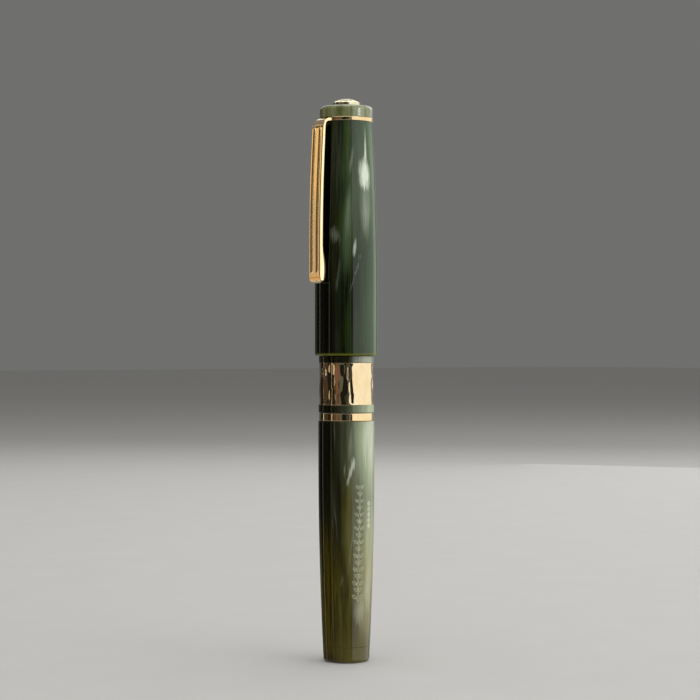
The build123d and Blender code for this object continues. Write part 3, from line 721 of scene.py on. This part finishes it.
def cap_shell():
    """The cap: two bores below a web, with the screw's hole through the web."""
    web, bore, upper_bore, bore_step = 128.6, 6.35, 5.6, 100.0
    lip_corner, mouth_corner = 0.35, 0.15
    outline = rounded(
        (CAP_RADIUS, CAP_LIP, lip_corner),
        *side(cap_side, CAP_PARALLEL_TO, CAP_TOP - 0.3),
        (CAP_TOP_RADIUS, CAP_TOP, EDGE),
        (SCREW_HOLE, CAP_TOP),
        (SCREW_HOLE, web),
        (upper_bore, web),
        (upper_bore, bore_step),
        (bore, bore_step),
        (bore, CAP_LIP, mouth_corner),
    )
    return shown(turned("cap_shell", outline, "cap", cap_resin), "cap_tube")


def crown_ring():
    """The thin gold ring, with the notch that the clip's tang lies in."""
    node = "clip_ring"
    low, high = levels(node)
    outer = reach(node)
    half_notch, notch_end, corner = 2.24, 4.0, 0.15
    outline = rounded((SCREW_HOLE, low), (outer, low, corner), (outer, high, corner), (SCREW_HOLE, high))
    band = turned("crown_ring", outline, "cap", gold, sides=240)
    cutter = bmesh.new()
    bmesh.ops.create_cube(cutter, size=1)
    stretch = Matrix.Diagonal((2 * half_notch * MM, 2 * outer * MM, 2 * MM, 1))
    middle = Vector((0, -(notch_end + outer) * MM, (low + high) / 2 * MM))
    bmesh.ops.transform(cutter, matrix=Matrix.Translation(middle) @ stretch, verts=cutter.verts)
    mesh = bpy.data.meshes.new("notch_cutter")
    cutter.to_mesh(mesh)
    cutter.free()
    tool = bpy.data.objects.new("notch_cutter", mesh)
    bpy.context.scene.collection.objects.link(tool)
    cut = band.modifiers.new("notch", "BOOLEAN")
    cut.operation = "DIFFERENCE"
    cut.object = tool
    cut.solver = "EXACT"
    bpy.context.view_layer.objects.active = band
    bpy.ops.object.modifier_apply(modifier=cut.name)
    bpy.data.objects.remove(tool)
    return shown(band, node)


def crown_jewel(material):
    """The crown, with a seat for the medallion above and a hole for the screw below."""
    node = "cap_jewel"
    low, high = levels(node)
    outer, hole, hole_top = reach(node), 1.65, 133.8
    seat, seat_radius = 134.2, 3.32
    top_corner, seat_corner = 0.95, 0.08
    outline = rounded(
        (outer, low, EDGE),
        (outer, high, top_corner),
        (seat_radius, high, seat_corner),
        (seat_radius, seat),
        (0, seat),
        (0, hole_top),
        (hole, hole_top),
        (hole, low),
    )
    return shown(turned("crown_jewel", outline, "cap", material), node)


def medallion():
    """A small domed medallion: a plain rosette of petals inside a beaded rim."""
    node = "cap_medallion"
    low, crown = levels(node)
    outer = reach(node)
    edge = 135.9
    rise = crown - edge
    petals, beads, rim = 12, 48, 2.75
    field_depth, petal_depth, bead_depth, plain_edge = 0.06, 0.15, 0.10, 0.16
    dome_power, dome_steps = 2.6, 44

    def relief(radius, level, angle):
        """Sinks the dome between the petals and between the beads."""
        if level < edge - 0.05 or radius > outer - 0.12:
            return radius, level
        share = radius / rim
        if share < 1:
            petal = abs(math.cos(petals * angle / 2)) * math.sin(math.pi * share) ** 0.7
            depth = field_depth + petal_depth * (1 - petal) * min(1.0, share * 4)
        else:
            depth = bead_depth * abs(math.sin(beads * angle / 2)) if radius < outer - plain_edge else 0.0
        return radius, level - depth

    top = []
    for step in range(dome_steps + 1):
        radius = (outer - 0.1) * (1 - step / dome_steps)
        top.append((radius, edge + rise * (1 - (radius / outer) ** dome_power)))
    outline = rounded((0, low), (outer, low), (outer, edge - 0.02, 0.06), *top)
    return shown(turned("medallion", outline, "cap", struck, relief, sides=288), node)


CLIP_WIDTH = 2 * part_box("clip")[1].x / MM
CLIP_REACH = -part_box("clip")[0].y / MM
CLIP_END, CLIP_TOP = levels("clip")


def clip_stations():
    """Pairs of (outer reach, outer level, inner reach, inner level) from the tang's heel to the tip."""
    tang_reach, tang_level, tang_half = 4.625, 131.575, 0.325
    top_reach, bend, inner_bend = 8.9, 2.8, 1.0
    bend_reach, bend_level = top_reach - bend, CLIP_TOP - bend
    inner_bend_reach, inner_bend_level = 6.9, 129.9
    tang_steps, bend_steps = 6, 12
    tang_deepening = 0.35
    stations = []
    for step in range(1, tang_steps + 1):
        angle = math.pi / 2 * step / tang_steps
        reach_here = tang_reach - tang_half * math.cos(angle)
        half = tang_half * math.sin(angle)
        stations.append((reach_here, tang_level + half, reach_here, tang_level - half))
    for step in range(1, tang_steps + 1):
        share = step / tang_steps
        outer_here = tang_reach + (bend_reach - tang_reach) * share
        floor = tang_level - tang_half - tang_deepening * max(0.0, share * 1.2 - 0.2) ** 2
        stations.append((outer_here, CLIP_TOP, outer_here, floor))
    for step in range(1, bend_steps + 1):
        angle = math.pi / 2 * (1 - step / bend_steps)
        cos, sin = math.cos(angle), math.sin(angle)
        stations.append((
            bend_reach + bend * cos, bend_level + bend * sin,
            inner_bend_reach + inner_bend * cos, inner_bend_level + inner_bend * sin,
        ))
    outer_side = bowed(CLIP_REACH, top_reach, 100.0, bend_level)
    low_thickness, ball_top, ball, ball_reach, tip_reach = 1.19, 101.0, 95.2, 7.84, 9.0
    arm_reach = CLIP_REACH - low_thickness
    inner_side = bowed(arm_reach, inner_bend_reach + inner_bend, ball_top, inner_bend_level)
    turn_in = 94.0

    def inner(level):
        """The arm's inner side, which swells inwards to the ball and rounds off at the tip."""
        if level >= ball_top:
            return inner_side(level)
        if level >= ball:
            share = (ball_top - level) / (ball_top - ball)
            return arm_reach - (arm_reach - ball_reach) * (1 - math.cos(math.pi * share)) / 2
        share = min(1.0, (ball - level) / (ball - CLIP_END))
        return tip_reach - (tip_reach - ball_reach) * math.sqrt(1 - share ** 2)

    def outer(level):
        """The arm's outer side, which rounds off at the tip."""
        if level >= turn_in:
            return outer_side(level)
        share = min(1.0, (turn_in - level) / (turn_in - CLIP_END))
        return tip_reach + (CLIP_REACH - tip_reach) * math.sqrt(1 - share ** 2)

    arm_steps, tip_steps = 70, 26
    arm_end, skew_length = 95.5, 8
    down = [bend_level + (arm_end - bend_level) * i / arm_steps for i in range(1, arm_steps + 1)]
    for step in range(1, tip_steps):
        down.append(CLIP_END + (arm_end - CLIP_END) * (1 - math.sin(math.pi / 2 * step / tip_steps)))
    for level in down:
        skew = max(0.0, 1 - (bend_level - level) / skew_length)
        opposite = level + (inner_bend_level - bend_level) * skew
        stations.append((outer(level), level, inner(opposite), opposite))
    return stations


def clip_section(station):
    """One closed ring of points round the clip: two grooves outside, plain inside."""
    outer_reach, outer_level, inner_reach, inner_level = station
    tip_corner, long_edge = 0.9, 0.22
    below = max(0.0, tip_corner - (outer_level - CLIP_END))
    drawn_in = tip_corner - math.sqrt(tip_corner ** 2 - min(below, tip_corner * 0.999) ** 2)
    half_width = CLIP_WIDTH / 2 - drawn_in
    thickness = math.hypot(outer_reach - inner_reach, outer_level - inner_level)
    edge = min(long_edge, thickness / 2.2)
    groove_place, groove_half, groove_depth = 1.08, 0.5, 0.12
    panel_top, panel_low, panel_reach, fade = 129.3, 94.2, 8.8, 0.7
    depth_here = 0.0
    if panel_low < outer_level < panel_top and outer_reach > panel_reach:
        close = min(panel_top - outer_level, outer_level - panel_low, fade) / fade
        depth_here = groove_depth * math.sin(math.pi / 2 * close)
    inward = Vector((inner_reach - outer_reach, inner_level - outer_level)).normalized()
    start = Vector((outer_reach, outer_level))
    count, crowding = 52, 0.35          # points are closer together towards the edges
    even = [2 * i / count - 1 for i in range(count + 1)]
    across = [math.sin(math.pi / 2 * share) * crowding + share * (1 - crowding) for share in even]
    ring_points = []
    for share in across:
        x = share * half_width
        inset = max(0.0, abs(x) - (half_width - edge))
        depth = edge - math.sqrt(max(edge ** 2 - inset ** 2, 0.0))
        off_groove = min(1.0, abs(abs(x) - groove_place) / groove_half)
        depth += depth_here * (1 - off_groove)
        point = start + inward * depth
        ring_points.append((x, -point.x, point.y))
    for share in reversed(across):
        x = share * half_width
        inset = max(0.0, abs(x) - (half_width - edge))
        depth = thickness - edge + math.sqrt(max(edge ** 2 - inset ** 2, 0.0))
        point = start + inward * depth
        ring_points.append((x, -point.x, point.y))
    return ring_points


def clip_arm():
    """The clip, lofted from tang to tip."""
    rings = [clip_section(station) for station in clip_stations()]
    count = len(rings[0])
    vertices = [point for ring_points in rings for point in ring_points]
    faces = [tuple(range(count)), tuple(range(len(vertices) - count, len(vertices)))]
    for row in range(len(rings) - 1):
        for i in range(count):
            j = (i + 1) % count
            faces.append((row * count + i, row * count + j, (row + 1) * count + j, (row + 1) * count + i))
    arm = riding(new_mesh("clip_arm", vertices, faces, gold, sharp=40), "clip")
    return shown(arm, "clip")


cap_shell()
crown_ring()
crown_jewel(crown_resin())
medallion()
clip_arm()


# --- spring, engraving -------------------------------------------------------------

def wire(name, path, radius, material, sides=12):
    """A closed wire of round section along a list of points. It isn't on a body yet."""
    points = [Vector(point) for point in path]
    vertices, faces = [], []
    for i, point in enumerate(points):
        along = (points[min(i + 1, len(points) - 1)] - points[max(i - 1, 0)]).normalized()
        sideways = along.cross(Vector((0, 0, 1))).normalized()
        upward = sideways.cross(along)
        for k in range(sides):
            angle = 2 * math.pi * k / sides
            vertices.append(point + (sideways * math.cos(angle) + upward * math.sin(angle)) * radius)
    for i in range(len(points) - 1):
        for k in range(sides):
            m = (k + 1) % sides
            faces.append((i * sides + k, i * sides + m, (i + 1) * sides + m, (i + 1) * sides + k))
    faces.append(tuple(range(sides)))
    faces.append(tuple(range(len(vertices) - sides, len(vertices))))
    return new_mesh(name, vertices, faces, material, sharp=50)


def cap_coil():
    """The inner cap's spring, from the inner cap up to the spring washer, built as a fixed coil."""
    low, high = levels("inner_cap")[1], levels("spring_washer")[0]
    thickness, coil_radius, turns, steps = 0.28, 3.6, 3.5, 240
    path = []
    for step in range(steps + 1):
        share = step / steps
        angle = 2 * math.pi * turns * share
        rise = low + thickness + (high - low - 2 * thickness) * share
        path.append((coil_radius * math.cos(angle), coil_radius * math.sin(angle), rise))
    coil = wire("cap_coil", path, thickness, steel)
    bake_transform(coil)
    return shown(coil, "cap_spring")


cap_coil()


def engraved_material(name, dim, bright):
    """A cut line filled with pale dust: matt and slightly uneven."""
    shader = Shader(name, Roughness=0.7, Specular_IOR_Level=0.2)
    dust = shader.noise(shader.place(), 2.2, detail=4)
    colour = shader.mix(shader.ramp(dust, 0.3, 0.7), dim, bright)
    shader.set_main("Base Color", colour)
    return shader.material


def on_barrel(sideways, level, height):
    """A point so many millimetres right of the front, measured round the barrel, and above its skin."""
    radius = barrel_side(level)
    angle = front_angle(math.degrees(sideways / radius))
    return ((radius + height) * math.cos(angle), (radius + height) * math.sin(angle), level)


def inlay(name, strokes, width, material):
    """Thin lines that follow the barrel's skin. A stroke is (points, whether it closes)."""
    sunk, proud = -0.05, 0.012
    vertices, faces = [], []
    for points, closes in strokes:
        first = len(vertices)
        count = len(points)
        for i, (sideways, level) in enumerate(points):
            after = points[(i + 1) % count] if closes or i + 1 < count else points[i]
            before = points[i - 1] if closes or i else points[i]
            along = (Vector(after) - Vector(before)).normalized()
            half = Vector((-along.y, along.x)) * width / 2
            for offset, height in ((half, sunk), (half, proud), (-half, proud), (-half, sunk)):
                vertices.append(on_barrel(sideways + offset.x, level + offset.y, height))
        for i in range(count if closes else count - 1):
            here, there = first + 4 * i, first + 4 * ((i + 1) % count)
            for k in range(4):
                faces.append((here + k, here + (k + 1) % 4, there + (k + 1) % 4, there + k))
        if not closes:
            faces.append((first, first + 1, first + 2, first + 3))
            last = first + 4 * (count - 1)
            faces.append((last, last + 1, last + 2, last + 3))
    piece = riding(new_mesh(name, vertices, faces, material), "barrel")
    return piece


def leaf(root, lean, length, plump):
    """A pointed leaf's outline and its midrib."""
    outline = []
    steps = 12
    for sign in (1, -1):
        for step in range(steps):
            share = step / steps if sign == 1 else 1 - step / steps
            outline.append((length * share, sign * plump * math.sin(math.pi * share) ** 0.9))
    cos, sin = math.cos(lean), math.sin(lean)
    turned_outline = [(root[0] + x * cos - y * sin, root[1] + x * sin + y * cos) for x, y in outline]
    rib = [(root[0] + length * t * cos, root[1] + length * t * sin) for t in (0.1, 0.4, 0.7)]
    return turned_outline, rib


def engraving():
    """Two stems that twine up the barrel and carry leaves, and beside them a short row of lozenges."""
    material = engraved_material("engraved_vine", (0.33, 0.35, 0.20, 1), (0.66, 0.69, 0.48, 1))
    low, high, steps = 14.9, 43.2, 240
    foot, lean, twine = 2.85, 0.65, 0.24
    leaves, leaf_length, leaf_half_width, smaller_at_top = 17, 1.5, 0.40, 0.3
    leaf_leans = ((1, 34), (-1, 146))

    def stem(level, hand):
        """How far to the right of the front a stem is at that level."""
        share = (level - low) / (high - low)
        return foot + lean * share + hand * twine * math.sin(math.pi * leaves * share)

    strokes = []
    levels_up = [low + (high - low) * i / steps for i in range(steps + 1)]
    for hand in (1, -1):
        strokes.append(([(stem(level, hand), level) for level in levels_up], False))
    for number in range(leaves):
        level = low + (high - low) * (number + 0.5) / leaves
        size = 1.0 - smaller_at_top * number / leaves
        for hand, angle in leaf_leans:
            root = (stem(level, hand), level)
            outline, rib = leaf(root, math.radians(angle), leaf_length * size, leaf_half_width * size)
            strokes.append((outline, True))
            strokes.append((rib, False))
    inlay("leaf_vine", strokes, 0.135, material)

    bright = engraved_material("engraved_lozenge", (0.78, 0.82, 0.64, 1), (0.95, 0.98, 0.84, 1))
    lozenges = []
    count, first_level, step, beside, half, tall = 5, 33.2, 1.35, 6.3, 0.42, 0.5
    for number in range(count):
        level = first_level + number * step
        lower, upper = (beside, level - tall), (beside, level + tall)
        lozenges.append(([lower, (beside + half, level), upper, (beside - half, level)], True))
    inlay("lozenge_row", lozenges, 0.25, bright)


engraving()


# --- camera, light, floor ----------------------------------------------------------

def facing(right_of_camera):
    """Level direction from the pen to a place so many degrees to the right of the camera."""
    angle = front_angle(right_of_camera)
    return Vector((math.cos(angle), math.sin(angle), 0))


CAMERA_DISTANCE = 0.4747
CAMERA_SIDE_STEP = 0.00088
CAMERA_LEVEL = 0.0757

camera_data = bpy.data.cameras.new("camera")
camera_data.lens = 100
camera_data.sensor_width = 36
camera_data.clip_start = 0.01
camera = bpy.data.objects.new("camera", camera_data)
bpy.context.scene.collection.objects.link(camera)
camera.location = facing(0) * CAMERA_DISTANCE + facing(90) * CAMERA_SIDE_STEP
camera.location.z = CAMERA_LEVEL
camera.rotation_euler = (math.pi / 2, 0, math.radians(FRONT))
bpy.context.scene.camera = camera


def softbox(name, right_of_camera, level, width, height, radiance, tint=(1, 1, 1), aim=None, away=0.80):
    """A rectangular light that faces the pen. Sizes in metres; radiance of 1 reflects as white."""
    light = bpy.data.lights.new(name, "AREA")
    light.shape = "RECTANGLE"
    light.size = width
    light.size_y = height
    light.energy = radiance * math.pi * width * height
    light.color = tint
    lamp = bpy.data.objects.new(name, light)
    bpy.context.scene.collection.objects.link(lamp)
    lamp.location = facing(right_of_camera) * away + Vector((0, 0, level))
    target = Vector((0, 0, level if aim is None else aim))
    lamp.rotation_euler = (target - lamp.location).to_track_quat("-Z", "Y").to_euler()
    lamp.visible_camera = False
    return lamp


def strip(name, right_of_camera, width, radiance, tint=(1, 1, 1), away=0.80):
    """An upright softbox, whose reflection is a streak from the pen's foot to its crown."""
    return softbox(name, right_of_camera, 0.10, width, 0.9, radiance, tint, away=away)


def only_on(lamps, *pieces):
    """Lets these lamps light only these pieces."""
    lit = bpy.data.collections.new("lit_by_" + lamps[0].name)
    for piece in pieces:
        lit.objects.link(bpy.data.objects[piece])
    for lamp in lamps:
        lamp.light_linking.receiver_collection = lit


WARM = (1.0, 0.62, 0.36)
PALE_WARM = (1.0, 0.86, 0.70)
ROSE = (1.0, 0.52, 0.44)
GREY_GREEN = (0.80, 0.92, 0.74)
AMBER = (1.0, 0.62, 0.25)
GOLDEN = (1.0, 0.76, 0.44)
PEACH = (1.0, 0.84, 0.62)
CREAM = (1.0, 0.98, 0.90)
COOL = (0.84, 0.93, 1.0)

softbox("key", 82, 0.25, 2.60, 1.3, 1.0, aim=0.07)
strip("right_back", 157, 0.42, 0.35)
strip("front_line", 15, 0.015, 1.0)
strip("front_soft", 5, 0.16, 0.06, GREY_GREEN, away=0.82)
strip("left_green", -25, 0.18, 0.12, GREY_GREEN)
strip("left_rose", -39, 0.16, 0.16, ROSE, away=0.81)
strip("left_soft", -51, 0.14, 0.10, WARM)
strip("left_line_near", -65, 0.075, 0.55, PALE_WARM)
strip("left_dim", -98, 0.40, 0.045, WARM)
strip("left_line_far", -114, 0.018, 2.4)
strip("left_back", -150, 0.30, 0.08, PALE_WARM)
softbox("hair", 165, 0.55, 1.0, 0.5, 0.9, aim=0.13)
softbox("overhead", 20, 1.1, 1.1, 1.1, 1.6, aim=0.0, away=0.05)
clip_lamps = (
    softbox("clip_cream", -118, 0.15, 0.22, 0.70, 0.55, CREAM),
    softbox("clip_low", -103, 0.11, 0.16, 0.19, 0.55, PEACH),
    softbox("clip_amber", -103, 0.26, 0.17, 0.11, 0.85, GOLDEN),
    softbox("clip_groove_far", -136, 0.16, 0.26, 0.9, 0.10, AMBER),
    softbox("clip_groove_near", -76, 0.16, 0.16, 0.9, 0.12, AMBER),
    softbox("clip_floor", -104, 0.02, 0.40, 0.10, 0.45, AMBER, away=0.30),
    softbox("clip_side", 77, 0.20, 0.90, 0.90, 0.45, away=0.78),
)
only_on(clip_lamps, "clip_arm")
jewel_line = softbox("jewel_line", 57, 0.25, 0.15, 0.4, 6.5, COOL, aim=0.13, away=0.79)
only_on((jewel_line,), "crown_jewel")

world = bpy.data.worlds.new("studio")
world.use_nodes = True
bpy.context.scene.world = world
sky = world.node_tree
surface = sky.nodes["World Output"].inputs["Surface"]
path = sky.nodes.new("ShaderNodeLightPath")


def glow(level):
    """A plain grey sky of that brightness."""
    node = sky.nodes.new("ShaderNodeBackground")
    node.inputs["Color"].default_value = (level, level, level * 0.98, 1)
    return node.outputs[0]


def choose(factor, first, second):
    """The first sky where the factor is 0, the second where it is 1."""
    node = sky.nodes.new("ShaderNodeMixShader")
    sky.links.new(factor, node.inputs[0])
    sky.links.new(first, node.inputs[1])
    sky.links.new(second, node.inputs[2])
    return node.outputs[0]


def height_glow():
    """What polished faces see where no light is: dark at eye level, brighter below and overhead.

    A stop is (0 straight down to 1 straight up, brightness).
    """
    direction = sky.nodes.new("ShaderNodeTexCoord")
    split = sky.nodes.new("ShaderNodeSeparateXYZ")
    sky.links.new(direction.outputs["Generated"], split.inputs[0])
    ramp = sky.nodes.new("ShaderNodeValToRGB")
    sky.links.new(calculate(sky, "MULTIPLY_ADD", split.outputs["Z"], 0.5, 0.5), ramp.inputs[0])
    stops = ((0.30, 0.30), (0.42, 0.012), (0.62, 0.012), (0.85, 0.30))
    ramp.color_ramp.elements.new(0.5)
    ramp.color_ramp.elements.new(0.5)
    for element, (position, level) in zip(ramp.color_ramp.elements, stops):
        element.position = position
        element.color = (level, level, level, 1)
    node = sky.nodes.new("ShaderNodeBackground")
    sky.links.new(ramp.outputs[0], node.inputs["Color"])
    return node.outputs[0]


reflected = choose(path.outputs["Is Glossy Ray"], glow(0.22), height_glow())
sky.links.new(choose(path.outputs["Is Camera Ray"], reflected, glow(0.16)), surface)

floor_shader = Shader("floor_paper", Roughness=0.85, Specular_IOR_Level=0.1)
mottle = floor_shader.noise(floor_shader.place((0.05, 0.05, 0.05)), 1.0, detail=4)
floor_colour = floor_shader.mix(mottle, (0.62, 0.61, 0.59, 1), (0.66, 0.65, 0.63, 1))
floor_shader.set_main("Base Color", floor_colour)
FLOOR_REACH, FLOOR_DROP = 6000, 0.03
quarters = ((-1, -1), (1, -1), (1, 1), (-1, 1))
floor_corners = [(x * FLOOR_REACH, y * FLOOR_REACH, -FLOOR_DROP) for x, y in quarters]
floor = new_mesh("floor", floor_corners, [(0, 1, 2, 3)], floor_shader.material)
floor.visible_glossy = False

bpy.context.scene.view_settings.view_transform = "Standard"
